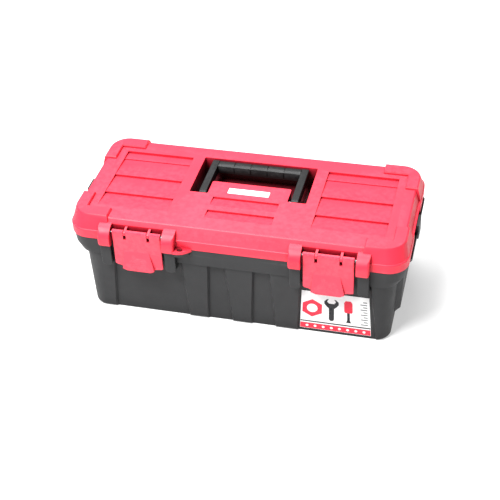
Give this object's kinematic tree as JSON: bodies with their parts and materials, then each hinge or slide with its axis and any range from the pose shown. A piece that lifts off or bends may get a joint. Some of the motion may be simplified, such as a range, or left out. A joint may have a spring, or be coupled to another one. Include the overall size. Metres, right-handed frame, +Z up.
{
  "type": "toolbox with lift-out tray",
  "caption": "Hinged plastic toolbox with a fold-flat carrying handle, front snap latches and a lift-out divided tray.",
  "frame": {"origin": "centre of the box on the surface it stands on", "axes": "+Z up, +X along the length to the right, -Y towards the front with the latches"},
  "size_m": [0.4064, 0.2014, 0.136],
  "materials": {
    "base_plastic": "fine grained moulded plastic",
    "lid_plastic": "satin moulded plastic",
    "latch_plastic": "satin moulded plastic",
    "handle_plastic": "fine grained moulded plastic",
    "tray_plastic": "satin moulded plastic",
    "divider_plastic": "satin moulded plastic",
    "steel_pin": "plain drawn steel",
    "label_sheet": "printed film",
    "plaque_sheet": "plain film"
  },
  "bodies": {
    "base": {"base_tub": "base_plastic", "left_hinge_pin": "steel_pin", "right_hinge_pin": "steel_pin", "front_label": "label_sheet"},
    "lid": {"lid_shell": "lid_plastic", "left_latch_pin": "steel_pin", "right_latch_pin": "steel_pin", "left_handle_pin": "steel_pin", "right_handle_pin": "steel_pin", "lid_plaque": "plaque_sheet"},
    "handle": {"carry_handle": "handle_plastic"},
    "latch_left": {"left_latch": "latch_plastic"},
    "latch_right": {"right_latch": "latch_plastic"},
    "tray_set": {"tray": "tray_plastic", "tray_divider_front_left": "divider_plastic", "tray_divider_front_right": "divider_plastic", "tray_divider_back_left": "divider_plastic", "tray_divider_back_right": "divider_plastic"}
  },
  "joints": [
    {"name": "lid_hinge", "type": "hinge", "parent": "base", "child": "lid", "pos_m": [0, 0.0962, 0.1055], "axis": [-1, 0, 0], "range_deg": [0, 105]},
    {"name": "handle_pivot", "type": "hinge", "parent": "lid", "child": "handle", "pos_m": [0, -0.0052, 0.126], "axis": [1, 0, 0], "range_deg": [0, 90]},
    {"name": "left_latch_pivot", "type": "hinge", "parent": "lid", "child": "latch_left", "pos_m": [-0.1125, -0.0922, 0.122], "axis": [-1, 0, 0], "range_deg": [0, 130]},
    {"name": "right_latch_pivot", "type": "hinge", "parent": "lid", "child": "latch_right", "pos_m": [0.1125, -0.0922, 0.122], "axis": [-1, 0, 0], "range_deg": [0, 130]},
    {"name": "tray_lift", "type": "slide", "parent": "base", "child": "tray_set", "axis": [0, 0, 1], "range_m": [0, 0.0432]}
  ],
  "couplings": [
    {"joint": "tray_lift", "follows": "lid_hinge", "m_per_rad": 0.0235}
  ]
}
